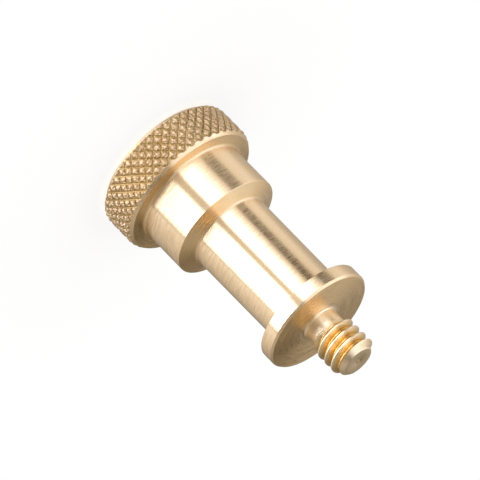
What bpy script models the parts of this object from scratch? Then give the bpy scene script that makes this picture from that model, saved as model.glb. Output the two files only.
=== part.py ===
"""Tripod thread adapter: a spigot turned from one bar of brass.

The part stands on its knurled head.  Its axis is +Z, the centre of the head's back
face is the origin, and the threaded stud points up.  All sizes are in metres.
"""

import math

import bmesh
import bpy

# Head
HEAD_DIAMETER = 0.0206          # over the points of the knurl
HEAD_HEIGHT = 0.00615
FRONT_CHAMFER_DEPTH = 0.00054   # measured along the radius
FRONT_CHAMFER_LENGTH = 0.00074  # measured along the axis
BACK_CHAMFER_DEPTH = 0.00100
BACK_CHAMFER_LENGTH = 0.00088

# Diamond knurl
KNURL_TEETH = 44                # points around the head
KNURL_DEPTH = 0.00030
KNURL_ANGLE = 45.0              # degrees between a groove and the axis

# Spigot shank and its sloping shoulder
SHANK_DIAMETER = 0.015875       # five eighths of an inch
SHANK_LENGTH = 0.0070
SHOULDER_RISE = 0.00080         # the shoulder is a shallow cone
EDGE_BREAK = 0.00012

# Waist that a clamp screw bears on
WAIST_DIAMETER = 0.01130        # beside the shoulder
WAIST_END_DIAMETER = 0.01115    # beside the flange
WAIST_LENGTH = 0.0165           # from the edge of the shoulder to the flange

# Flange
FLANGE_DIAMETER = 0.015875
FLANGE_THICKNESS = 0.00218
FLANGE_BACK_BREAK = 0.00015
FLANGE_CHAMFER_DEPTH = 0.00023
FLANGE_CHAMFER_LENGTH = 0.00031

# Male thread, a quarter of an inch with twenty turns to the inch
STUD_LENGTH = 0.00763
NECK_LENGTH = 0.00208
MALE_DIAMETER = 0.0063
MALE_PITCH = 0.00127
MALE_START = -0.00010           # height of the ridge above the neck, on the -Y side
LEAD_LENGTH = 0.00090           # over which the ridge grows out of the neck
TIP_CHAMFER_DEPTH = 0.00094
TIP_CHAMFER_LENGTH = 0.00085

# Blind tapped hole in the head, three eighths of an inch with sixteen turns to the inch
FEMALE_DIAMETER = 0.009525
FEMALE_PITCH = 0.0015875
HOLE_DEPTH = 0.0105             # full diameter
DRILL_POINT_ANGLE = 118.0       # degrees
MOUTH_CLEARANCE = 0.00025       # the mouth is wider than the thread by this on each side

# Fillets
ROOT_FILLET = 0.00030           # where a smaller diameter meets a face
FILLET_STEPS = 3

# Facets
COLUMNS = 2 * KNURL_TEETH       # one column for each groove crossing, one for each point
FINE_COLUMNS = KNURL_TEETH      # for the stud and the hole
START_ANGLE = math.radians(-91.0)

# What a 60 degree thread fixes
THREAD_HALF_ANGLE = math.radians(30.0)
THREAD_HEIGHT_RATIO = 0.61343   # depth of a male thread over its pitch
DRILL_RATIO = 0.54127           # depth of a female thread over its pitch
CREST_RATIO = 1.0 / 8.0         # flat crest over the pitch

# Heights along the axis
HEAD_TOP = HEAD_HEIGHT
SHOULDER_EDGE = HEAD_TOP + SHANK_LENGTH
FLANGE_BACK = SHOULDER_EDGE + WAIST_LENGTH
FLANGE_FRONT = FLANGE_BACK + FLANGE_THICKNESS
NECK_END = FLANGE_FRONT + NECK_LENGTH
TIP = FLANGE_FRONT + STUD_LENGTH

# Radii
CREST_RADIUS = HEAD_DIAMETER / 2
GROOVE_RADIUS = CREST_RADIUS - KNURL_DEPTH
SHANK_RADIUS = SHANK_DIAMETER / 2
WAIST_RADIUS = WAIST_DIAMETER / 2
WAIST_END_RADIUS = WAIST_END_DIAMETER / 2
FLANGE_RADIUS = FLANGE_DIAMETER / 2
MALE_RADIUS = MALE_DIAMETER / 2
CORE_RADIUS = MALE_RADIUS - THREAD_HEIGHT_RATIO * MALE_PITCH
BORE_RADIUS = FEMALE_DIAMETER / 2 - DRILL_RATIO * FEMALE_PITCH
MOUTH_RADIUS = FEMALE_DIAMETER / 2 + MOUTH_CLEARANCE


def clear_scene():
    """Remove every object, so the script can be run again in the same file."""
    for obj in list(bpy.data.objects):
        bpy.data.objects.remove(obj, do_unlink=True)


def brass():
    """Bright turned brass."""
    material = bpy.data.materials.new("turned_brass")
    material.use_nodes = True
    shader = material.node_tree.nodes["Principled BSDF"]
    shader.inputs["Base Color"].default_value = (0.83, 0.62, 0.32, 1.0)
    shader.inputs["Metallic"].default_value = 1.0
    shader.inputs["Roughness"].default_value = 0.28
    return material


def arc(centre, radius, start, end):
    """Points (r, z) of a round corner, from one angle to the other, in degrees."""
    points = []
    for step in range(FILLET_STEPS + 1):
        angle = math.radians(start + (end - start) * step / FILLET_STEPS)
        points.append((centre[0] + radius * math.cos(angle),
                       centre[1] + radius * math.sin(angle)))
    return points


def root_corner(radius, height):
    """Round corner between a face at this height and a smaller diameter above it."""
    centre = (radius + ROOT_FILLET, height + ROOT_FILLET)
    return arc(centre, ROOT_FILLET, 270.0, 180.0)


def shoulder_corner():
    """Round corner between the sloping shoulder and the waist."""
    slope = math.atan2(SHOULDER_RISE, SHANK_RADIUS - WAIST_RADIUS)
    tangent = ROOT_FILLET * math.tan((math.pi / 2 - slope) / 2)
    centre = (WAIST_RADIUS + ROOT_FILLET, SHOULDER_EDGE + SHOULDER_RISE + tangent)
    return arc(centre, ROOT_FILLET, 270.0 - math.degrees(slope), 180.0)


def add_ring(bm, columns, points):
    """One closed ring of vertices.

    points holds one (r, z) for a plain ring, or two that take turns round the ring.
    """
    ring = []
    for column in range(columns):
        radius, height = points[column % len(points)]
        angle = START_ANGLE + 2.0 * math.pi * column / columns
        ring.append(bm.verts.new((radius * math.cos(angle), radius * math.sin(angle), height)))
    return ring


def join_rings(bm, lower, upper):
    """Skin between two rings.  One ring may have twice as many columns as the other."""
    for column in range(min(len(lower), len(upper))):
        after = (column + 1) % min(len(lower), len(upper))
        if len(lower) == len(upper):
            bm.faces.new((lower[column], lower[after], upper[after], upper[column]))
            continue
        wide = lower if len(lower) > len(upper) else upper
        narrow = upper if wide is lower else lower
        middle = wide[2 * column + 1]
        triangles = ((wide[2 * column], middle, narrow[column]),
                     (middle, narrow[after], narrow[column]),
                     (middle, wide[(2 * column + 2) % len(wide)], narrow[after]))
        for triangle in triangles:
            bm.faces.new(triangle if wide is lower else triangle[::-1])


def join_knurl_rings(bm, lower, upper, row):
    """Skin between two rings of the knurl, each quad split along its groove."""
    for column in range(COLUMNS):
        after = (column + 1) % COLUMNS
        a, b, c, d = lower[column], lower[after], upper[after], upper[column]
        if (row + column) % 2:
            bm.faces.new((a, b, d))
            bm.faces.new((b, c, d))
        else:
            bm.faces.new((a, b, c))
            bm.faces.new((a, c, d))


def knurl_rows():
    """The knurl as rows of alternating (r, z) points: groove crossings and sharp points.

    The end rows lie where the chamfers reach the floor of the grooves.  There the
    ridges between the grooves stop at the chamfer, which leaves the zigzag edge.
    """
    back_slope = BACK_CHAMFER_DEPTH / BACK_CHAMFER_LENGTH
    front_slope = FRONT_CHAMFER_DEPTH / FRONT_CHAMFER_LENGTH
    first = (BACK_CHAMFER_DEPTH - KNURL_DEPTH) / back_slope
    last = HEAD_TOP - (FRONT_CHAMFER_DEPTH - KNURL_DEPTH) / front_slope
    pitch = 2.0 * math.pi * CREST_RADIUS / KNURL_TEETH / math.tan(math.radians(KNURL_ANGLE))
    count = max(2, round(2.0 * (last - first) / pitch))
    step = (last - first) / count
    rows = []
    for row in range(count + 1):
        height = first + step * row
        crossing = (GROOVE_RADIUS, height)
        point = (CREST_RADIUS, height)
        if row in (0, count):
            slope = back_slope if row == 0 else front_slope
            inward = KNURL_DEPTH / (slope + KNURL_DEPTH / step)
            point = (GROOVE_RADIUS + slope * inward, height + inward * (1 if row == 0 else -1))
        # The last row has crossings in the even columns, which START_ANGLE places
        swap = (count - row) % 2
        rows.append((point, crossing) if swap else (crossing, point))
    return rows


def turned_body():
    """The whole part as one skin, from the drill point in its head to the stud's tip."""
    bm = bmesh.new()

    # Hole, from the drill point out to the mouth
    point_height = BORE_RADIUS / math.tan(math.radians(DRILL_POINT_ANGLE / 2))
    mouth_height = MOUTH_RADIUS - BORE_RADIUS
    hole = [(BORE_RADIUS, HOLE_DEPTH), (BORE_RADIUS, mouth_height), (MOUTH_RADIUS, 0.0)]
    rings = [add_ring(bm, FINE_COLUMNS, [point]) for point in hole]
    centre = bm.verts.new((0.0, 0.0, HOLE_DEPTH + point_height))
    for column in range(FINE_COLUMNS):
        bm.faces.new((centre, rings[0][(column + 1) % FINE_COLUMNS], rings[0][column]))
    for lower, upper in zip(rings, rings[1:]):
        join_rings(bm, lower, upper)

    # Back face and its chamfer, then the knurl
    back = add_ring(bm, COLUMNS, [(CREST_RADIUS - BACK_CHAMFER_DEPTH, 0.0)])
    join_rings(bm, rings[-1], back)
    rows = knurl_rows()
    knurl = [add_ring(bm, COLUMNS, row) for row in rows]
    join_rings(bm, back, knurl[0])
    for row in range(len(rows) - 1):
        join_knurl_rings(bm, knurl[row], knurl[row + 1], len(rows) - 1 - row)

    # Everything above the knurl that is as coarse as the head
    above = [(CREST_RADIUS - FRONT_CHAMFER_DEPTH, HEAD_TOP)]
    above += root_corner(SHANK_RADIUS, HEAD_TOP)
    cone = SHOULDER_RISE / (SHANK_RADIUS - WAIST_RADIUS)
    above += [(SHANK_RADIUS, SHOULDER_EDGE - EDGE_BREAK),
              (SHANK_RADIUS - EDGE_BREAK, SHOULDER_EDGE + EDGE_BREAK * cone)]
    above += shoulder_corner()
    above += [(WAIST_END_RADIUS, FLANGE_BACK - ROOT_FILLET)]
    above += arc((WAIST_END_RADIUS + ROOT_FILLET, FLANGE_BACK - ROOT_FILLET),
                 ROOT_FILLET, 180.0, 90.0)[1:]
    above += [(FLANGE_RADIUS - FLANGE_BACK_BREAK, FLANGE_BACK),
              (FLANGE_RADIUS, FLANGE_BACK + FLANGE_BACK_BREAK),
              (FLANGE_RADIUS, FLANGE_FRONT - FLANGE_CHAMFER_LENGTH),
              (FLANGE_RADIUS - FLANGE_CHAMFER_DEPTH, FLANGE_FRONT)]
    rings = [knurl[-1]] + [add_ring(bm, COLUMNS, [point]) for point in above]
    for lower, upper in zip(rings, rings[1:]):
        join_rings(bm, lower, upper)

    # Neck, then the threaded stud
    neck = root_corner(CORE_RADIUS, FLANGE_FRONT) + [(CORE_RADIUS, NECK_END)]
    rings = [rings[-1]] + [add_ring(bm, FINE_COLUMNS, [point]) for point in neck]
    for lower, upper in zip(rings, rings[1:]):
        join_rings(bm, lower, upper)
    tip = add_ring(bm, FINE_COLUMNS, [(MALE_RADIUS - TIP_CHAMFER_DEPTH, TIP)])
    join_thread(bm, rings[-1], tip)
    bm.faces.new(tip)
    return bm


def ridge_outline():
    """One pitch of the thread as (rise, radius) points, from one root to the next.

    Each flank has a point half way up, so that the lead and the tip chamfer can bend it.
    """
    crest = CREST_RATIO * MALE_PITCH / 2
    flank = (MALE_RADIUS - CORE_RADIUS) * math.tan(THREAD_HALF_ANGLE)
    middle = (MALE_RADIUS + CORE_RADIUS) / 2
    return [(-crest - flank, CORE_RADIUS), (-crest - flank / 2, middle), (-crest, MALE_RADIUS),
            (crest, MALE_RADIUS), (crest + flank / 2, middle), (crest + flank, CORE_RADIUS)]


def turned_limit(height):
    """Radius of the bar before threading: it slopes up from the neck and down at the tip."""
    lead = (MALE_RADIUS - CORE_RADIUS) * (height - NECK_END) / LEAD_LENGTH
    chamfer = TIP_CHAMFER_DEPTH * (TIP - height) / TIP_CHAMFER_LENGTH
    return min(CORE_RADIUS + lead, MALE_RADIUS - TIP_CHAMFER_DEPTH + chamfer)


def join_thread(bm, neck, tip):
    """Skin between the neck and the tip, whose rows follow a right-hand helix.

    A row that has gone round once is the same row one pitch higher.  Where a row would
    pass the neck or the tip, it ends in that ring's own vertices.
    """
    outline = ridge_outline()
    step = MALE_PITCH / FINE_COLUMNS
    vertices = {}

    def vertex(row, column):
        if column == FINE_COLUMNS:
            row, column = row + len(outline), 0
        turn, part = divmod(row, len(outline))
        rise, radius = outline[part]
        height = NECK_END + MALE_START + MALE_PITCH * (turn - 1) + rise + step * column
        if height < NECK_END + step / 2:
            return neck[column]
        if height > TIP - step / 2:
            return tip[column]
        if (row, column) not in vertices:
            radius = min(radius, turned_limit(height))
            angle = START_ANGLE + 2.0 * math.pi * column / FINE_COLUMNS
            vertices[row, column] = bm.verts.new(
                (radius * math.cos(angle), radius * math.sin(angle), height))
        return vertices[row, column]

    turns = math.ceil((TIP - NECK_END - MALE_START) / MALE_PITCH) + 2
    for row in range(-len(outline), turns * len(outline)):
        for column in range(FINE_COLUMNS):
            corners = [vertex(row, column), vertex(row, column + 1),
                       vertex(row + 1, column + 1), vertex(row + 1, column)]
            distinct = list(dict.fromkeys(corners))
            if len(distinct) > 2:
                bm.faces.new(distinct)


def main():
    clear_scene()
    bm = turned_body()
    mesh = bpy.data.meshes.new("adapter_body")
    bm.to_mesh(mesh)
    bm.free()
    mesh.materials.append(brass())
    mesh.shade_smooth()
    mesh.set_sharp_from_angle(angle=math.radians(25.0))
    body = bpy.data.objects.new("adapter_body", mesh)
    bpy.context.scene.collection.objects.link(body)


if __name__ == "__main__":
    main()
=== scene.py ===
"""Brass spigot adapter on a pale studio floor.

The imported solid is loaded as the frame, and one finely meshed piece stands for it:
the turned and knurled body with its threads, in five brass finishes.
"""

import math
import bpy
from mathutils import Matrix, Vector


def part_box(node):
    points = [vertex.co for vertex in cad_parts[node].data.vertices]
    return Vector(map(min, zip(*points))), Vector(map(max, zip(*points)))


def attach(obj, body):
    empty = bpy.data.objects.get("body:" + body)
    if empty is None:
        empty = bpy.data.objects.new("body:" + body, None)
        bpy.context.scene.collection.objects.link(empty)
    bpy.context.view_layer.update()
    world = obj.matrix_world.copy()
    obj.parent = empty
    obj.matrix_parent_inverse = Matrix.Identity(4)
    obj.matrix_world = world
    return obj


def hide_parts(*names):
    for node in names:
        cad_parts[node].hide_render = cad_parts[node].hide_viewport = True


bl_info = {
    "name": "Spigot thread adapter",
    "version": (1, 0, 0),
    "blender": (4, 5, 0),
    "location": "View3D > Sidebar > Adapter",
    "description": "Models a turned brass spigot adapter and the studio it stands in",
    "category": "Add Mesh",
}

import bpy
import numpy as np
from mathutils import Matrix, Vector

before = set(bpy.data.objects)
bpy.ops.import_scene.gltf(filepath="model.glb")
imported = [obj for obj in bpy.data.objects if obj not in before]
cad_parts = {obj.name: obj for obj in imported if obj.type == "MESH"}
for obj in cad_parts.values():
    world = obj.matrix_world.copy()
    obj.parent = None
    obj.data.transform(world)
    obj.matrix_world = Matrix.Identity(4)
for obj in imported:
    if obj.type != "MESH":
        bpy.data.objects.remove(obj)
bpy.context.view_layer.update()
NODE = "adapter_body"
_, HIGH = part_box(NODE)

MM = 0.001


# ---------------------------------------------------------------- sizes and colours

def linear(hex_colour):
    """sRGB hex to linear red, green, blue and alpha."""
    channels = [int(hex_colour[i:i + 2], 16) / 255.0 for i in (1, 3, 5)]
    curve = [c / 12.92 if c <= 0.04045 else ((c + 0.055) / 1.055) ** 2.4 for c in channels]
    return (*curve, 1.0)


def length(name, description, millimetres):
    """A length property in metres, whose default is given in millimetres."""
    return bpy.props.FloatProperty(name=name, description=description, unit="LENGTH",
                                   precision=6, default=millimetres * MM)


def colour(name, description, hex_colour):
    """A colour property whose default is an sRGB hex value."""
    return bpy.props.FloatVectorProperty(name=name, description=description, subtype="COLOR",
                                         size=4, min=0.0, max=1.0, default=linear(hex_colour))


class AdapterSizes(bpy.types.PropertyGroup):
    """Sizes of the turned body. Its width and its height come from the frame."""
    head_diameter: length("Head diameter", "Over the points of the knurl", HIGH.x * 2 / MM)
    total_height: length("Total height", "From the head's back face to the tip", HIGH.z / MM)
    head_height: length("Head height", "Thickness of the knurled head", 6.15)
    front_chamfer_depth: length("Front chamfer depth", "Along the radius", 0.54)
    front_chamfer_length: length("Front chamfer length", "Along the axis", 0.74)
    back_chamfer_depth: length("Back chamfer depth", "Along the radius", 1.00)
    back_chamfer_length: length("Back chamfer length", "Along the axis", 0.88)
    knurl_teeth: bpy.props.IntProperty(
        name="Knurl points", description="Points around the head", default=44, min=8)
    knurl_depth: length("Knurl depth", "From the points to the floor of the grooves", 0.30)
    shank_diameter: length("Shank diameter", "Spigot that a stand's socket holds", 15.875)
    shank_length: length("Shank length", "From the head to the edge of the shoulder", 7.0)
    shoulder_rise: length("Shoulder rise", "Height of the shallow cone", 0.80)
    waist_diameter: length("Waist diameter", "Beside the shoulder", 11.30)
    waist_end_diameter: length("Waist end diameter", "Beside the flange", 11.15)
    waist_length: length("Waist length", "From the edge of the shoulder to the flange", 16.5)
    flange_diameter: length("Flange diameter", "Over the rim", 15.875)
    flange_thickness: length("Flange thickness", "From back face to front face", 2.18)
    flange_chamfer_depth: length("Flange chamfer depth", "Along the radius", 0.23)
    flange_chamfer_length: length("Flange chamfer length", "Along the axis", 0.31)
    edge_break: length("Edge break", "Small chamfer on the turned edges", 0.12)
    root_fillet: length("Root fillet", "Where a smaller diameter meets a face", 0.42)
    neck_length: length("Neck length", "Plain part between the flange and the thread", 2.08)
    neck_diameter: length("Neck diameter", "Plain part below the thread", 4.88)
    male_diameter: length("Male thread diameter", "Over the crests", 6.3)
    male_pitch: length("Male thread pitch", "Twenty turns to the inch", 1.27)
    lead_length: length("Lead length", "Over which the ridge grows out of the neck", 0.72)
    tip_chamfer_depth: length("Tip chamfer depth", "Along the radius", 0.94)
    tip_chamfer_length: length("Tip chamfer length", "Along the axis", 0.85)
    female_diameter: length("Female thread diameter", "Over the roots", 9.525)
    female_pitch: length("Female thread pitch", "Sixteen turns to the inch", 1.5875)
    hole_depth: length("Hole depth", "Full diameter of the tapped hole", 10.5)
    mouth_clearance: length("Mouth clearance", "Of the hole's chamfer round its thread", 0.25)


class AdapterFinish(bpy.types.PropertyGroup):
    """Colours of the metal and the floor."""
    brass: colour("Turned brass", "Walls turned along the axis", "#f1cfa1")
    faced: colour("Faced brass", "Faces turned across the axis", "#f1ce9a")
    cut: colour("Cut brass", "Neck and tip", "#f2d8b0")
    floor: colour("Floor", "Grey paper, which a glow brings to white", "#999999")


# ---------------------------------------------------------------- profile helpers

TURNED, KNURLED, THREADED, FACED, PLAIN = 0, 1, 2, 3, 4    # material slots
START_ANGLE = math.radians(-91.0)   # a groove crossing faces the camera's side
SHARP_ANGLE = math.radians(32.0)    # edges that turn more than this are shaded sharp
FINE_COLUMNS = 176                  # columns of the stud and the hole
CORNER_STEPS = 4                    # steps in a rounded edge
EDGE_ROUND = 0.05 * MM              # rounding of the fine edges
SLIVER = 0.01 * MM                  # between rings that nearly touch; the least cut that counts

# The map runs along the outline, in units of a centimetre, and once round the axis
MAP_UNIT = 0.01
FACE_BAND = (0.0, 0.04)             # along the map, across a stitched face
SEAM_BAND = (0.0, 0.001)            # along the map, between rings that nearly touch
POLE_MAP = 0.1                      # along the map, from an end's ring to its pole

KNURL_ANGLE = math.radians(45.0)
KNURL_GRID = 8                      # grid steps in half a knurl point, both ways
KNURL_FLAT = 0.06                   # half a groove's flat floor, over half its spacing
KNURL_FLANK = 0.80                  # the flank from there to the top, over the same
KNURL_BLUNT = 1.25                  # power that blunts the top

THREAD_DEPTH = 0.61343              # of a male thread, over its pitch
DRILL_DEPTH = 0.54127               # of a female thread, over its pitch
THREAD_HALF_ANGLE = math.radians(30.0)
CREST_SHARE, ROOT_SHARE = 14, 16    # pitch over half the flat: male crest, female root
MALE_ROOT_ROUND = 0.06 * MM         # where a male flank meets its root
RIDGE_DROP = 0.10 * MM              # the stud's ridge starts this far below the neck's end

DRILL_HALF_ANGLE = math.radians(59.0)
DRILL_RING = 0.6 * MM               # radius of the ring round the drill's point
DRILL_MAP = (0.0, 0.4, 0.5)         # along the map, from the point to the plain bore
HOLE_RUN_OUT = 1.2 * MM             # plain bore above the tapped thread
THREAD_FADE = 0.9 * MM              # plain lip under the tapped thread, and its fade above

# Rings where the columns of the hole and the stud join the body's, outside mouth and neck
HOLE_RINGS = (0.4 * MM, 0.8 * MM)
NECK_RINGS = (0.8 * MM, 1.2 * MM)
NECK_FILLET = 0.36 * MM
TIP_EDGE, TIP_ROUND = 0.02 * MM, 0.015 * MM
# Mark of the lathe's centre in the tip: radius, depth and rounding, from its rim inwards
CENTRE_MARK = ((0.55 * MM, 0.0, 0), (0.34 * MM, 0.05 * MM, 0.05 * MM),
               (0.12 * MM, 0.01 * MM, 0.03 * MM))


def rounded(corners, steps=CORNER_STEPS):
    """An outline (r, z) whose corners are arcs.

    Each corner is (r, z, radius). The arc touches both neighbouring sides: it starts at
    radius / tan(half the corner's angle) from the corner, and turns about its centre.
    """
    corners = np.asarray(corners, float)
    points = [corners[0, :2]]
    for before, corner, after in zip(corners, corners[1:], corners[2:]):
        if corner[2] <= 0.0:
            points.append(corner[:2])
            continue
        to_before = before[:2] - corner[:2]
        to_after = after[:2] - corner[:2]
        to_before /= np.linalg.norm(to_before)
        to_after /= np.linalg.norm(to_after)
        half = 0.5 * math.acos(np.clip(to_before @ to_after, -1.0, 1.0))
        middle = (to_before + to_after) / np.linalg.norm(to_before + to_after)
        centre = corner[:2] + middle * corner[2] / math.sin(half)
        first = corner[:2] + to_before * corner[2] / math.tan(half) - centre
        last = corner[:2] + to_after * corner[2] / math.tan(half) - centre
        turn = math.atan2(first[0] * last[1] - first[1] * last[0], first @ last)
        angles = np.linspace(0.0, turn, steps + 1)[:, None]
        across = np.array([-first[1], first[0]])
        points.extend(centre + first * np.cos(angles) + across * np.sin(angles))
    points.append(corners[-1, :2])
    return np.array(points)


class Skin:
    """Collects rings and triangles of one closed surface as whole arrays."""

    def __init__(self):
        self.points, self.faces, self.maps, self.slots = [], [], [], []
        self.count = 0

    def rings(self, radius, height):
        """Vertices of a grid of rings: r cos(angle), r sin(angle), z. Returns their indices.

        radius and height are arrays of rows by columns, and the angle grows evenly with
        the column from START_ANGLE.
        """
        radius, height = np.broadcast_arrays(radius, height)
        angle = START_ANGLE + 2.0 * np.pi * np.arange(radius.shape[1]) / radius.shape[1]
        grid = np.stack([radius * np.cos(angle), radius * np.sin(angle), height], -1)
        self.points.append(grid.reshape(-1, 3))
        index = self.count + np.arange(radius.size).reshape(radius.shape)
        self.count += radius.size
        return index

    def plain(self, outline, columns):
        """A turned surface: the same outline (r, z) in every column."""
        return self.rings(np.repeat(outline[:, :1], columns, 1),
                          np.repeat(outline[:, 1:], columns, 1))

    def pole(self, height):
        """One vertex on the axis."""
        self.points.append(np.array([[0.0, 0.0, height]]))
        self.count += 1
        return self.count - 1

    def triangles(self, corners, along, around, slot):
        """Triangles with their map: u runs along the outline, v once round the axis."""
        corners = np.asarray(corners).reshape(-1, 3)
        whole = (corners[:, 0] != corners[:, 1]) & (corners[:, 1] != corners[:, 2]) \
            & (corners[:, 2] != corners[:, 0])
        self.faces.append(corners[whole])
        self.maps.append(np.stack([np.asarray(along).reshape(-1, 3),
                                   np.asarray(around).reshape(-1, 3)], -1)[whole])
        self.slots.append(np.broadcast_to(slot, len(whole))[whole])

    def grid(self, index, along, slot, flip=None, wrapped=None):
        """Two triangles for each cell between neighbouring rows and columns.

        along is the distance along the outline of each row, and slot is one number or one
        for each cell. flip marks cells that are split along the other diagonal. wrapped is
        the column that closes the ring, if it isn't the first one.
        """
        last = index[:, :1] if wrapped is None else wrapped
        index = np.concatenate([index, last], 1)
        rows, columns = index.shape
        around = np.broadcast_to(np.arange(columns) / (columns - 1), index.shape)
        along = np.broadcast_to(np.asarray(along)[:, None], index.shape)
        flip = np.zeros((rows - 1, columns - 1), bool) if flip is None else flip

        def cells(values):
            a, b = values[:-1, :-1], values[:-1, 1:]
            c, d = values[1:, 1:], values[1:, :-1]
            straight = np.stack([a, b, c, a, c, d], -1)
            crossed = np.stack([a, b, d, b, c, d], -1)
            return np.where(flip[..., None], crossed, straight)

        slots = np.repeat(np.broadcast_to(slot, (rows - 1, columns - 1)).ravel(), 2)
        self.triangles(cells(index), cells(along), cells(around), slots)

    def stitch(self, lower, upper, along, slot):
        """Joins two rings, one of which has several times as many columns as the other."""
        many, few = (lower, upper) if len(lower) > len(upper) else (upper, lower)
        ratio = len(many) // len(few)
        base = np.arange(len(few))
        fine = (base[:, None] * ratio + np.arange(ratio))
        fans = np.stack([many[fine], many[(fine + 1) % len(many)],
                         np.repeat(few[:, None], ratio, 1)], -1)
        gaps = np.stack([many[(base + 1) * ratio % len(many)],
                         few[(base + 1) % len(few)], few], -1)
        step = 1.0 / len(many)
        here = base / len(few)
        fan_v = np.stack([fine * step, (fine + 1) * step,
                          np.repeat(here[:, None], ratio, 1)], -1)
        gap_v = np.stack([here + 1.0 / len(few), here + 1.0 / len(few), here], -1)
        at = along if many is lower else along[::-1]
        fan_u = np.broadcast_to([at[0], at[0], at[1]], fans.shape)
        gap_u = np.broadcast_to([at[0], at[1], at[1]], gaps.shape)
        order = slice(None) if many is lower else slice(None, None, -1)
        self.triangles(fans[..., order], fan_u[..., order], fan_v[..., order], slot)
        self.triangles(gaps[..., order], gap_u[..., order], gap_v[..., order], slot)

    def cap(self, ring, pole, slot, outward_up):
        """A flat or conical end: a fan from the pole to the ring."""
        after = np.roll(ring, -1)
        around = np.arange(len(ring)) / len(ring)
        pair = (ring, after) if outward_up else (after, ring)
        ends = (around, around + 1.0 / len(ring))
        ends = ends if outward_up else ends[::-1]
        corners = np.stack([*pair, np.full(len(ring), pole)], -1)
        v = np.stack([*ends, around + 0.5 / len(ring)], -1)
        self.triangles(corners, np.zeros(corners.shape) + [0.0, 0.0, POLE_MAP], v, slot)

    def mesh(self, name, materials):
        """The finished mesh, with its map and material slots."""
        faces = np.concatenate(self.faces)
        used, faces = np.unique(faces, return_inverse=True)
        faces = faces.reshape(-1, 3).astype(np.int32)
        points = np.concatenate(self.points)[used].astype(np.float32)
        mesh = bpy.data.meshes.new(name)
        mesh.vertices.add(len(points))
        mesh.vertices.foreach_set("co", points.ravel())
        mesh.loops.add(faces.size)
        mesh.loops.foreach_set("vertex_index", faces.ravel())
        mesh.polygons.add(len(faces))
        mesh.polygons.foreach_set("loop_start", np.arange(0, faces.size, 3, dtype=np.int32))
        for material in materials:
            mesh.materials.append(material)
        mesh.polygons.foreach_set("material_index", np.concatenate(self.slots).astype(np.int32))
        mesh.update(calc_edges=True)
        layer = mesh.uv_layers.new(name="turning")
        layer.data.foreach_set("uv", np.concatenate(self.maps).astype(np.float32).ravel())
        mesh.shade_smooth()
        mesh.set_sharp_from_angle(angle=SHARP_ANGLE)
        mesh.validate()
        return mesh


# ---------------------------------------------------------------- the body's surfaces

def distance_along(outline):
    """Length run along an outline up to each of its points, in units of the map."""
    steps = np.linalg.norm(np.diff(outline, axis=0), axis=1)
    return np.concatenate([[0.0], np.cumsum(steps)]) * (1.0 / MAP_UNIT)


def knurl(size, columns):
    """Height and radius of the knurl as rows by columns, cells to flip and their finishes.

    A point's two groove phases are a = angle * teeth / 2 pi + z / pitch and b, the same
    with minus. Each phase gives a triangle wave, nought at its groove and one half way
    to the next. The smaller wave, less the flat, over the flank and held between 0 and 1,
    is w. The surface lies at the floor radius plus the depth times 1 - (1 - w) ^ blunt,
    which makes a four-sided point with steep sides and a blunt tip. It is cut off where
    it would stand out of the two chamfers.
    """
    crest = size.head_diameter / 2
    floor = crest - size.knurl_depth
    back = size.back_chamfer_depth / size.back_chamfer_length
    front = size.front_chamfer_depth / size.front_chamfer_length
    first = (size.back_chamfer_depth - size.knurl_depth) / back
    last = size.head_height - (size.front_chamfer_depth - size.knurl_depth) / front
    pitch = 2.0 * math.pi * crest / size.knurl_teeth / math.tan(KNURL_ANGLE)
    halves = max(2, round(2.0 * (last - first) / pitch))
    rows = halves * KNURL_GRID
    z = np.linspace(first, last, rows + 1)[:, None]
    along = (np.arange(rows + 1)[:, None] - rows) / (2.0 * KNURL_GRID)
    across = np.arange(columns)[None, :] / (2.0 * KNURL_GRID)

    def wave(phase):
        return 2.0 * np.abs(phase - np.round(phase))

    cell = np.minimum(wave(across + along), wave(across - along))
    climb = np.clip((cell - KNURL_FLAT) / KNURL_FLANK, 0.0, 1.0)
    height = 1.0 - (1.0 - climb) ** KNURL_BLUNT
    radius = floor + size.knurl_depth * height
    limit = np.minimum(floor + back * (z - first), floor + front * (last - z))
    turned = radius > limit
    radius = np.minimum(radius, limit)
    whole = turned[:-1] & turned[1:]
    slots = np.where(whole & np.roll(whole, -1, 1), TURNED, KNURLED)
    cell_row = (np.arange(rows)[:, None] - rows) // KNURL_GRID
    cell_column = np.arange(columns)[None, :] // KNURL_GRID
    flip = (cell_row + cell_column) % 2 == 1
    return np.repeat(z, columns, 1), radius, flip, slots


def helix(pitch, outline, low, high, start, columns):
    """Heights of a thread's rows by columns, each row's radius, and the rows in a turn.

    outline holds one pitch of (rise, radius). Row n of turn t lies at start + t pitch +
    rise n, and it climbs one pitch in a turn to the right.
    """
    turns = math.ceil((high - low) / pitch) + 3
    base = (np.arange(-2, turns)[:, None] * pitch + outline[None, :, 0]).ravel()
    radius = np.tile(outline[:, 1], turns + 2)
    climb = pitch * np.arange(columns + 1) / columns
    return start + base[:, None] + climb[None, :], radius, len(outline)


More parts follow.
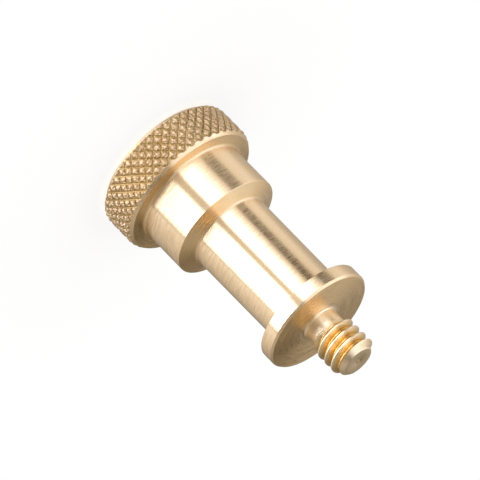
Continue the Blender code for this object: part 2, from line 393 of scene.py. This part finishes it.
def thread_surface(skin, first, last, low, high, heights, radius, per_turn, limit,
                   inward=False):
    """Skins a thread between two plain rings.

    Rows below low or above high end in the vertices of the ring that lies there. limit
    gives the radius that the thread keeps at a height. An inward thread's rows run down
    the hole, so that they face the axis.
    """
    columns = len(first)
    tolerance = 0.5 * (heights[0, 1] - heights[0, 0])
    kept = limit(np.repeat(radius[:, None], columns, 1), heights[:, :-1])
    grid = skin.rings(kept, heights[:, :-1])
    closing = np.concatenate([grid[per_turn:, 0], np.full(per_turn, grid[-1, 0])])
    index = np.concatenate([grid, closing[:, None]], 1)
    index = np.where(heights < low + tolerance, np.append(first, first[0]),
                     np.where(heights > high - tolerance, np.append(last, last[0]), index))
    along = distance_along(np.stack([radius, heights[:, 0]], 1))
    cut = (kept < radius[:, None] - SLIVER) & (heights[:, :-1] > 0.5 * (low + high))
    slots = np.where(cut[:-1] & cut[1:], PLAIN, THREADED)
    if inward:
        index, along, slots = index[::-1], along[::-1], THREADED
    skin.grid(index[:, :-1], along, slots, wrapped=index[:, -1:])


def male_outline(size):
    """One pitch of the male thread, from the middle of one root to the next."""
    major = size.male_diameter / 2
    core = major - THREAD_DEPTH * size.male_pitch
    crest = size.male_pitch / CREST_SHARE
    flank = (major - core) * math.tan(THREAD_HALF_ANGLE)
    half = size.male_pitch / 2
    corners = [(-half, core, 0), (-crest - flank, core, MALE_ROOT_ROUND),
               (-crest, major, EDGE_ROUND), (crest, major, EDGE_ROUND),
               (crest + flank, core, MALE_ROOT_ROUND), (half, core, 0)]
    return rounded(corners, 3)[:-1]


def female_outline(size):
    """One pitch of the female thread, from the middle of one crest to the next."""
    major = size.female_diameter / 2
    bore = major - DRILL_DEPTH * size.female_pitch
    root = size.female_pitch / ROOT_SHARE
    flank = (major - bore) * math.tan(THREAD_HALF_ANGLE)
    half = size.female_pitch / 2
    corners = [(-half, bore, 0), (-root - flank, bore, EDGE_ROUND), (-root, major, EDGE_ROUND),
               (root, major, EDGE_ROUND), (root + flank, bore, EDGE_ROUND), (half, bore, 0)]
    return rounded(corners, 2)[:-1]


def turned_slots(outline):
    """The finish of each row of a turned outline: faces run more across than along the axis."""
    across, along = np.abs(np.diff(outline, axis=0)).T
    return np.where(across > along, FACED, TURNED)[:, None]


def build_skin(size):
    """The whole surface, from the drill point in the head to the tip of the stud."""
    skin = Skin()
    knurl_columns = size.knurl_teeth * 2 * KNURL_GRID
    body_columns = knurl_columns // 2
    head = size.head_diameter / 2
    floor = head - size.knurl_depth
    shank = size.shank_diameter / 2
    waist = size.waist_diameter / 2
    waist_end = size.waist_end_diameter / 2
    flange = size.flange_diameter / 2
    male = size.male_diameter / 2
    bore = size.female_diameter / 2 - DRILL_DEPTH * size.female_pitch
    mouth = size.female_diameter / 2 + size.mouth_clearance
    edge = size.head_height + size.shank_length
    flange_back = edge + size.waist_length
    flange_front = flange_back + size.flange_thickness
    neck_end = flange_front + size.neck_length
    tip = size.total_height
    fillet = size.root_fillet

    # Tapped hole: bottom, thread, mouth
    top = size.hole_depth - HOLE_RUN_OUT
    slope = math.tan(DRILL_HALF_ANGLE)
    drill = skin.plain(np.array([[DRILL_RING, size.hole_depth + (bore - DRILL_RING) / slope],
                                 [bore, size.hole_depth], [bore, top]]), FINE_COLUMNS)
    point = skin.pole(size.hole_depth + bore / slope)
    skin.cap(drill[0], point, TURNED, outward_up=False)
    skin.grid(drill, DRILL_MAP, TURNED)
    rim_outline = rounded([(bore, mouth - bore, 0), (mouth, 0.0, EDGE_ROUND),
                           (mouth + HOLE_RINGS[0], 0.0, 0)])
    rim = skin.plain(rim_outline, FINE_COLUMNS)
    outline = female_outline(size)
    heights, radius, per_turn = helix(size.female_pitch, outline, mouth - bore, top, 0.0,
                                      FINE_COLUMNS)

    def hole_limit(radii, height):
        fade = np.clip((top - height) / THREAD_FADE, 0.0, 1.0)
        cone = mouth - height
        return np.where(height < mouth - bore + THREAD_FADE,
                        np.minimum(radii, np.maximum(bore, cone)), bore + (radii - bore) * fade)

    thread_surface(skin, rim[0], drill[-1], mouth - bore, top, heights, radius, per_turn,
                   hole_limit, inward=True)
    skin.grid(rim, distance_along(rim_outline), TURNED)

    # Back face, its chamfer and the knurl
    back_slope = size.back_chamfer_depth / size.back_chamfer_length
    first = (size.back_chamfer_depth - size.knurl_depth) / back_slope
    outline = rounded([(mouth + HOLE_RINGS[1], 0.0, 0),
                       (head - size.back_chamfer_depth, 0.0, EDGE_ROUND),
                       (floor - SLIVER, first - SLIVER, 0)])
    back = skin.plain(outline, body_columns)
    skin.stitch(rim[-1], back[0], FACE_BAND, FACED)
    skin.grid(back, distance_along(outline), turned_slots(outline))
    heights, radii, flip, slots = knurl(size, knurl_columns)
    lattice = skin.rings(radii, heights)
    skin.stitch(back[-1], lattice[0], SEAM_BAND, TURNED)
    skin.grid(lattice, heights[:, 0] * (1.0 / MAP_UNIT), slots, flip)

    # Front chamfer, face, shank, shoulder, waist and flange
    outline = rounded([
        (floor - SLIVER, heights[-1, 0] + SLIVER, 0),
        (head - size.front_chamfer_depth, size.head_height, EDGE_ROUND),
        (shank, size.head_height, fillet),
        (shank, edge, size.edge_break),
        (waist, edge + size.shoulder_rise, fillet),
        (waist_end, flange_back, fillet),
        (flange, flange_back, size.edge_break),
        (flange, flange_front - size.flange_chamfer_length, EDGE_ROUND),
        (flange - size.flange_chamfer_depth, flange_front, EDGE_ROUND),
        (size.neck_diameter / 2 + NECK_RINGS[1], flange_front, 0)])
    body = skin.plain(outline, body_columns)
    skin.stitch(lattice[-1], body[0], SEAM_BAND, TURNED)
    skin.grid(body, distance_along(outline), turned_slots(outline))

    # Neck and thread
    stem = size.neck_diameter / 2
    outline = rounded([(stem + NECK_RINGS[0], flange_front, 0),
                       (stem, flange_front, NECK_FILLET), (stem, neck_end, 0)])
    neck = skin.plain(outline, FINE_COLUMNS)
    skin.stitch(body[-1], neck[0], FACE_BAND, FACED)
    skin.grid(neck, distance_along(outline), PLAIN)
    flat = male - size.tip_chamfer_depth
    outline = rounded([(flat + TIP_EDGE, tip - TIP_EDGE, 0), (flat, tip, TIP_ROUND),
                       *((ring, tip - sunk, rounding) for ring, sunk, rounding in CENTRE_MARK)])
    end = skin.plain(outline, FINE_COLUMNS)
    heights, radius, per_turn = helix(size.male_pitch, male_outline(size), neck_end, tip,
                                      neck_end - RIDGE_DROP, FINE_COLUMNS)

    def stud_limit(radii, height):
        lead = stem + (height - neck_end) * (male - stem) / size.lead_length
        chamfer = flat + (tip - height) * size.tip_chamfer_depth / size.tip_chamfer_length
        return np.maximum(np.minimum(np.minimum(radii, lead), chamfer), flat)

    thread_surface(skin, neck[-1], end[0], neck_end, tip - TIP_EDGE, heights, radius, per_turn,
                   stud_limit)
    skin.grid(end, distance_along(outline), PLAIN)
    skin.cap(end[-1], skin.pole(tip - CENTRE_MARK[-1][1]), PLAIN, outward_up=True)
    return skin


# ---------------------------------------------------------------- materials

# The part is cut from one bar of brass, a warm yellow metal that mirrors what is round it,
# and its surfaces differ by how they were cut. A pixel of the render covers 0.13 mm and a
# finishing tool leaves marks 0.05 to 0.1 mm apart, so all the marks below are drawn coarser
# than the real ones.

MARK_LEVELS = (0.36, 0.62)          # the noise between which a mark goes from smooth to dull
KNURL_REFLECTION = (10.01 * MM, 10.06 * MM)   # radii just above the floor of the grooves, over which their painted reflection fades
THREAD_REFLECTION = (2.5 * MM, 3.12 * MM)     # radii near the root and near the crest, between which the painted reflection fades
THREAD_MIDDLE = 36.45 * MM              # height of the thread's middle
THREAD_REACH = (1.80 * MM, 2.45 * MM)   # distances from it over which the root's painted reflection ends


def add(tree, kind, links=None, values=None, **settings):
    """Adds a node with its settings, its sockets' values and the outputs linked to them."""
    node = tree.nodes.new(kind)
    for name, setting in settings.items():
        setattr(node, name, setting)
    for socket, value in (values or {}).items():
        node.inputs[socket].default_value = value
    for socket, source in (links or {}).items():
        tree.links.new(source, node.inputs[socket])
    return node


def tool_marks(tree, pitch, run):
    """Noise in streaks that run round the axis: pitch thick and run long, in metres.

    The pattern's place is x and y over the run, and the distance along the outline over
    the pitch, so that the streaks stay round the axis on walls and faces alike. Returns
    the noise and the distance along the outline.
    """
    place = add(tree, "ShaderNodeTexCoord").outputs["Object"]
    turning = add(tree, "ShaderNodeUVMap", uv_map="turning").outputs[0]
    xyz = add(tree, "ShaderNodeSeparateXYZ", {0: place})
    along = add(tree, "ShaderNodeSeparateXYZ", {0: turning})
    parts = []
    for source, factor in ((xyz.outputs[0], 1.0 / run), (xyz.outputs[1], 1.0 / run),
                           (along.outputs[0], MAP_UNIT / pitch)):
        parts.append(add(tree, "ShaderNodeMath", {0: source}, {1: factor},
                         operation="MULTIPLY").outputs[0])
    vector = add(tree, "ShaderNodeCombineXYZ", dict(enumerate(parts)))
    noise = add(tree, "ShaderNodeTexNoise", {"Vector": vector.outputs[0]},
                {"Scale": 1.0, "Detail": 2.5, "Roughness": 0.75})
    return noise.outputs["Fac"], along.outputs[0]


def brass_material(name, finish, anisotropy=0.0, base=None):
    """Brass with one finish, which sets its roughness and bump.

    Without a base colour, the finish sets the colour too. With anisotropy, the marks run
    round the axis, in the direction of the map.
    """
    material = bpy.data.materials.new(name)
    material.use_nodes = True
    tree = material.node_tree
    shader = tree.nodes["Principled BSDF"]
    shader.inputs["Metallic"].default_value = 1.0
    shader.inputs["Anisotropic"].default_value = anisotropy
    if base:
        shader.inputs["Base Color"].default_value = base
    if anisotropy:
        tangent = add(tree, "ShaderNodeTangent", direction_type="UV_MAP", uv_map="turning")
        tree.links.new(tangent.outputs[0], shader.inputs["Tangent"])
    finish(tree, shader)
    return material


def marks_finish(tree, shader, pitch, run, depth, smooth, dull, lean=0.0):
    """Marks round the axis, whose noise gives both their roughness and their height.

    The roughness goes from smooth to dull with the noise, and the height is the noise times
    the depth. A lean in degrees adds its tangent times the distance along the outline,
    which shades the surface as if it sloped by that much.
    """
    marks, along = tool_marks(tree, pitch, run)
    rough = add(tree, "ShaderNodeMapRange", {0: marks},
                {1: MARK_LEVELS[0], 2: MARK_LEVELS[1], 3: smooth, 4: dull})
    tree.links.new(rough.outputs[0], shader.inputs["Roughness"])
    if lean:
        marks = add(tree, "ShaderNodeMath", {0: along, 2: marks},
                    {1: MAP_UNIT * math.tan(math.radians(lean)) / depth},
                    operation="MULTIPLY_ADD").outputs[0]
    bump = add(tree, "ShaderNodeBump", {"Height": marks}, {"Strength": 1.0, "Distance": depth})
    tree.links.new(bump.outputs[0], shader.inputs["Normal"])


def turned_finish(tree, shader):
    """Walls turned along the axis.

    Fine marks round the axis stretch each reflection along it into a straight streak, with
    combed edges where some marks are duller. Drawn 0.24 mm thick and 2.2 mm long.
    """
    marks_finish(tree, shader, 0.24 * MM, 2.2 * MM, 0.003 * MM, 0.21, 0.33)


def faced_finish(tree, shader):
    """Faces turned across the axis.

    The marks are rings, so the light falls in a fan from the middle, and their long sides
    lean outwards. Drawn 0.30 mm thick and 3.0 mm long.
    """
    marks_finish(tree, shader, 0.30 * MM, 3.0 * MM, 0.006 * MM, 0.24, 0.36, lean=6.5)


def cut_finish(tree, shader):
    """Neck and tip, left as the tool cut them.

    Rougher marks and no polish blur the reflections into faint uneven patches. Drawn
    0.20 mm thick and 1.6 mm long.
    """
    marks_finish(tree, shader, 0.20 * MM, 1.6 * MM, 0.010 * MM, 0.30, 0.40)


def painted_reflection_by_depth(tree, shader, radii, inner, outer, middle=None, reach=None):
    """Painted reflection: one colour at the inner of two radii from the axis, blending to
    another at the outer.

    With a middle and a reach, the outer colour also takes over between the reach's two
    distances from that height. Returns the place and the blend, nought at the inner colour.
    """
    place = add(tree, "ShaderNodeTexCoord").outputs["Object"]
    flat = add(tree, "ShaderNodeVectorMath", {0: place}, {1: (1.0, 1.0, 0.0)},
               operation="MULTIPLY")
    radius = add(tree, "ShaderNodeVectorMath", {0: flat.outputs[0]}, operation="LENGTH")
    blend = add(tree, "ShaderNodeMapRange", {0: radius.outputs["Value"]},
                {1: radii[0], 2: radii[1]})
    if reach:
        axis = add(tree, "ShaderNodeVectorMath", {0: place}, {1: (0.0, 0.0, 1.0)},
                   operation="MULTIPLY")
        away = add(tree, "ShaderNodeVectorMath", {0: axis.outputs[0]}, {1: (0.0, 0.0, middle)},
                   operation="DISTANCE")
        ends = add(tree, "ShaderNodeMapRange", {0: away.outputs["Value"]},
                   {1: reach[0], 2: reach[1]})
        blend = add(tree, "ShaderNodeMath", {0: blend.outputs[0], 1: ends.outputs[0]},
                    operation="MAXIMUM")
    mix = add(tree, "ShaderNodeMix", {0: blend.outputs[0]},
              {6: linear(inner), 7: linear(outer)}, data_type="RGBA")
    tree.links.new(mix.outputs[2], shader.inputs["Base Color"])
    return place, blend.outputs[0]


def knurled_finish(tree, shader):
    """Knurl, pressed by a pair of hard wheels.

    The wheels leave the tops blunt and uneven, and the tops keep a darker colour. The grooves
    are painted a little lighter and yellower than the tops: a painted reflection of the metal
    in itself. The unevenness is drawn 0.26 mm across.
    """
    # Painted reflection: the grooves' colour is lighter and yellower than the tops'.
    place, tops = painted_reflection_by_depth(tree, shader, KNURL_REFLECTION, "#d2b782", "#c8a67a")
    uneven = add(tree, "ShaderNodeTexNoise", {"Vector": place},
                 {"Scale": 1.0 / (0.26 * MM), "Detail": 2.0, "Roughness": 0.6})
    height = add(tree, "ShaderNodeMath", {0: uneven.outputs["Fac"], 1: tops},
                 operation="MULTIPLY")
    bump = add(tree, "ShaderNodeBump", {"Height": height.outputs[0]},
               {"Strength": 1.0, "Distance": 0.24 * MM})
    tree.links.new(bump.outputs[0], shader.inputs["Normal"])
    shader.inputs["Roughness"].default_value = 0.27


def threaded_finish(tree, shader):
    """Thread, cut by a die.

    The die tears the flanks a little, which blurs them. The root is painted a deeper yellow
    between the crests but not at the thread's two ends: a painted reflection of the metal in
    itself. The marks are drawn 0.18 mm thick and 0.6 mm long.
    """
    # Painted reflection: a deeper yellow at the root, paler at the crest.
    painted_reflection_by_depth(tree, shader, THREAD_REFLECTION, "#dcae60", "#f0d4a8", THREAD_MIDDLE, THREAD_REACH)
    marks, _ = tool_marks(tree, 0.18 * MM, 0.6 * MM)
    bump = add(tree, "ShaderNodeBump", {"Height": marks},
               {"Strength": 1.0, "Distance": 0.045 * MM})
    tree.links.new(bump.outputs[0], shader.inputs["Normal"])
    shader.inputs["Roughness"].default_value = 0.32


# ---------------------------------------------------------------- operators

class ADAPTER_OT_body(bpy.types.Operator):
    """Model the adapter's body"""
    bl_idname = "adapter.body"
    bl_label = "Adapter body"

    def execute(self, context):
        size = context.scene.adapter_sizes
        look = context.scene.adapter_finish
        materials = [
            brass_material("turned_brass", turned_finish, 1.0, tuple(look.brass)),
            brass_material("knurled_brass", knurled_finish),
            brass_material("threaded_brass", threaded_finish),
            brass_material("faced_brass", faced_finish, 0.95, tuple(look.faced)),
            brass_material("cut_brass", cut_finish, 0.0, tuple(look.cut))]
        mesh = build_skin(size).mesh("brass_spigot", materials)
        piece = bpy.data.objects.new("brass_spigot", mesh)
        context.scene.collection.objects.link(piece)
        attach(piece, "root")
        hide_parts(NODE)
        return {"FINISHED"}


# Brightness of the studio's walls by direction, with 1 as white: five rings from straight
# down to overhead. Each lists stops of an azimuth in degrees, where nought is the camera's
# side and minus is -X, and a level. Before its stops stand the two heights, as sines of the
# elevation, between which it takes over from the ring below.
WALLS = (
    (None, (                        # straight down
        (-180, 1.0), (-150, 0.8), (-110, 0.6), (-85, 0.6), (-79, 0.1), (-61, 0.1),
        (-50, 0.6), (-37, 3.0), (-9, 3.0), (-6, 1.0), (7, 1.0), (12, 3.4), (71, 3.4),
        (72, 0.8), (75, 0.8), (76, 1.1), (120, 0.8), (180, 1.0))),
    ((-0.8, -0.7), (                # below the horizon
        (-180, 0.43), (-160, 0.46), (-125, 0.62), (-117, 0.86), (-106, 0.97), (-98, 0.87),
        (-85, 0.78), (-80, 0.08), (-60, 0.08), (-56, 0.95), (-50, 1.3), (-40, 2.3),
        (-34, 3.8), (-9, 3.9), (-6, 1.0), (7, 1.0), (12, 4.3), (71, 4.3), (72, 0.7),
        (75, 0.7), (76, 1.3), (80, 1.28), (83, 1.18), (95, 1.05), (120, 0.84), (150, 0.5),
        (165, 0.31), (180, 0.2))),
    ((-0.29, -0.19), (              # on the horizon
        (-180, 0.46), (-160, 0.52), (-125, 0.82), (-117, 1.05), (-100, 1.1), (-85, 1.0),
        (-80, 0.5), (-60, 0.5), (-56, 1.0), (-46, 1.3), (-9, 1.7), (-6, 0.5), (71, 0.5),
        (72, 0.7), (75, 0.7), (76, 1.0), (95, 0.76), (120, 0.54), (150, 0.3), (180, 0.17))),
    ((0.24, 0.36), (                # above the horizon
        (-180, 0.42), (-168, 0.54), (-155, 0.67), (-140, 0.78), (-122, 1.08), (-100, 1.6),
        (-80, 1.75), (-60, 1.55), (-48, 1.2), (-36, 0.92), (-24, 0.88), (-12, 0.92),
        (-2, 1.05), (8, 1.15), (20, 0.56), (48, 0.36), (72, 0.38), (100, 0.5), (120, 0.47),
        (140, 0.28), (158, 0.13), (172, 0.08), (180, 0.24))),
    ((0.6, 0.75), (                 # overhead
        (-180, 0.38), (-160, 0.42), (-146, 0.58), (-120, 0.95), (-90, 1.35), (-60, 1.5),
        (-24, 1.3), (-12, 1.0), (-4, 0.28), (4, 0.17), (37, 0.15), (60, 0.26), (80, 0.46),
        (104, 0.58), (140, 0.38), (160, 0.27), (180, 0.3))))
WALL_SCALE = 5.5                    # above the brightest level, because a curve ends at 1
# Dim walls are warm and bright ones cool. A tint above 1 has no hex value.
WARM, WARM_LEVELS = "#ffebc2", (0.05, 0.5)
COOL, COOL_LEVELS = (1.0, 1.14, 1.45, 1.0), (0.7, 1.6)
WHITE = (1.0, 1.0, 1.0, 1.0)


def studio_world(context):
    """Soft studio: plain white light, and lit and dark walls that only the metal mirrors.

    The azimuth is the angle of x over -y. Each ring's brightness is a curve of it, with
    straight sides between its stops, and the height of the direction blends the rings.
    """
    world = bpy.data.worlds.new("studio")
    context.scene.world = world
    world.use_nodes = True
    tree = world.node_tree
    tree.nodes.clear()
    direction = add(tree, "ShaderNodeTexCoord").outputs["Generated"]
    parts = add(tree, "ShaderNodeSeparateXYZ", {0: direction})
    back = add(tree, "ShaderNodeMath", {0: parts.outputs[1]}, {1: -1.0}, operation="MULTIPLY")
    azimuth = add(tree, "ShaderNodeMath", {0: parts.outputs[0], 1: back.outputs[0]},
                  operation="ARCTAN2")
    turn = add(tree, "ShaderNodeMath", {0: azimuth.outputs[0]}, {1: 0.5 / math.pi, 2: 0.5},
               operation="MULTIPLY_ADD")
    mix = None
    for heights, stops in WALLS:
        ramp = add(tree, "ShaderNodeFloatCurve", {1: turn.outputs[0]})
        curve = ramp.mapping.curves[0]
        for degrees, level in stops[1:-1]:
            curve.points.new(degrees / 360.0 + 0.5, level / WALL_SCALE)
        curve.points[0].location = (0.0, stops[0][1] / WALL_SCALE)
        curve.points[-1].location = (1.0, stops[-1][1] / WALL_SCALE)
        for point in curve.points:
            point.handle_type = "VECTOR"
        ramp.mapping.update()
        if mix is None:
            mix = ramp
            continue
        above = add(tree, "ShaderNodeMapRange", {0: parts.outputs[2]},
                    {1: heights[0], 2: heights[1]}, interpolation_type="SMOOTHSTEP")
        mix = add(tree, "ShaderNodeMix", {0: above.outputs[0], 2: mix.outputs[0],
                                          3: ramp.outputs[0]}, data_type="FLOAT")
    level = add(tree, "ShaderNodeMath", {0: mix.outputs[0]}, {1: WALL_SCALE},
                operation="MULTIPLY")
    warmth = add(tree, "ShaderNodeMapRange", {0: level.outputs[0]},
                 {1: WARM_LEVELS[0], 2: WARM_LEVELS[1]})
    warm = add(tree, "ShaderNodeMix", {0: warmth.outputs[0]},
               {6: linear(WARM), 7: WHITE}, data_type="RGBA")
    coolness = add(tree, "ShaderNodeMapRange", {0: level.outputs[0]},
                   {1: COOL_LEVELS[0], 2: COOL_LEVELS[1]})
    tint = add(tree, "ShaderNodeMix", {0: coolness.outputs[0], 6: warm.outputs[2]},
               {7: COOL}, data_type="RGBA")
    mirrored = add(tree, "ShaderNodeBackground", {"Strength": level.outputs[0],
                                                  "Color": tint.outputs[2]})
    plain = add(tree, "ShaderNodeBackground", values={"Color": WHITE})
    path = add(tree, "ShaderNodeLightPath")
    both = add(tree, "ShaderNodeMixShader", {0: path.outputs["Is Glossy Ray"],
                                             1: plain.outputs[0], 2: mirrored.outputs[0]})
    add(tree, "ShaderNodeOutputWorld", {"Surface": both.outputs[0]})


FLOOR_RADIUS = 2.0
FLOOR_SIDES = 64
FLOOR_GLOW = 0.69                   # for the camera alone, so that the grey floor is white

CAMERA_ELEVATION = math.radians(23.61)
CAMERA_ROLL = math.radians(45.59)
CAMERA_DISTANCE = 0.6338
CAMERA_LENS, CAMERA_SENSOR = 367.3, 36.0    # both in millimetres
AIM = Vector((-0.00012, 0.0, 0.01587))


class ADAPTER_OT_stage(bpy.types.Operator):
    """Set the floor, the studio's light and the camera"""
    bl_idname = "adapter.stage"
    bl_label = "Stage"

    def execute(self, context):
        floor = bpy.data.meshes.new("floor")
        angle = np.linspace(0, 2 * np.pi, FLOOR_SIDES, endpoint=False)
        ring = np.stack([np.cos(angle), np.sin(angle), 0 * angle], 1) * FLOOR_RADIUS
        floor.from_pydata(ring.tolist(), [], [tuple(range(FLOOR_SIDES))])
        obj = bpy.data.objects.new("floor", floor)
        context.scene.collection.objects.link(obj)
        material = bpy.data.materials.new("pale_paper")
        material.use_nodes = True
        tree = material.node_tree
        shader = tree.nodes["Principled BSDF"]
        shader.inputs["Base Color"].default_value = tuple(context.scene.adapter_finish.floor)
        shader.inputs["Roughness"].default_value = 1.0
        shader.inputs["Specular IOR Level"].default_value = 0.0
        path = add(tree, "ShaderNodeLightPath")
        level = add(tree, "ShaderNodeMath", {0: path.outputs["Is Camera Ray"]},
                    {1: FLOOR_GLOW}, operation="MULTIPLY")
        glow = add(tree, "ShaderNodeEmission", {"Strength": level.outputs[0]})
        total = add(tree, "ShaderNodeAddShader", {0: shader.outputs[0], 1: glow.outputs[0]})
        tree.links.new(total.outputs[0], tree.nodes["Material Output"].inputs["Surface"])
        floor.materials.append(material)
        obj.visible_glossy = False
        studio_world(context)

        up = Vector((0.0, math.sin(CAMERA_ELEVATION), math.cos(CAMERA_ELEVATION)))
        towards = Vector((0.0, -math.cos(CAMERA_ELEVATION), math.sin(CAMERA_ELEVATION)))
        side = Vector((1.0, 0.0, 0.0))
        right = math.cos(CAMERA_ROLL) * up - math.sin(CAMERA_ROLL) * side
        top = -math.sin(CAMERA_ROLL) * up - math.cos(CAMERA_ROLL) * side
        data = bpy.data.cameras.new("camera")
        data.lens = CAMERA_LENS
        data.sensor_width = CAMERA_SENSOR
        data.clip_start = 0.01
        camera = bpy.data.objects.new("camera", data)
        context.scene.collection.objects.link(camera)
        rotation = Matrix((right, top, towards)).transposed()
        camera.matrix_world = Matrix.Translation(AIM + towards * CAMERA_DISTANCE) \
            @ rotation.to_4x4()
        context.scene.camera = camera
        context.scene.view_settings.view_transform = "Standard"
        return {"FINISHED"}


class ADAPTER_PT_panel(bpy.types.Panel):
    """Lists the adapter's pieces"""
    bl_idname = "ADAPTER_PT_panel"
    bl_label = "Adapter"
    bl_space_type = "VIEW_3D"
    bl_region_type = "UI"
    bl_category = "Adapter"

    def draw(self, context):
        self.layout.operator(ADAPTER_OT_body.bl_idname)
        self.layout.operator(ADAPTER_OT_stage.bl_idname)


CLASSES = (AdapterSizes, AdapterFinish, ADAPTER_OT_body, ADAPTER_OT_stage, ADAPTER_PT_panel)


def register():
    for cls in CLASSES:
        bpy.utils.register_class(cls)
    bpy.types.Scene.adapter_sizes = bpy.props.PointerProperty(type=AdapterSizes)
    bpy.types.Scene.adapter_finish = bpy.props.PointerProperty(type=AdapterFinish)


def unregister():
    del bpy.types.Scene.adapter_finish
    del bpy.types.Scene.adapter_sizes
    for cls in reversed(CLASSES):
        bpy.utils.unregister_class(cls)


def main():
    register()
    bpy.ops.adapter.body()
    bpy.ops.adapter.stage()


if __name__ == "__main__":
    main()
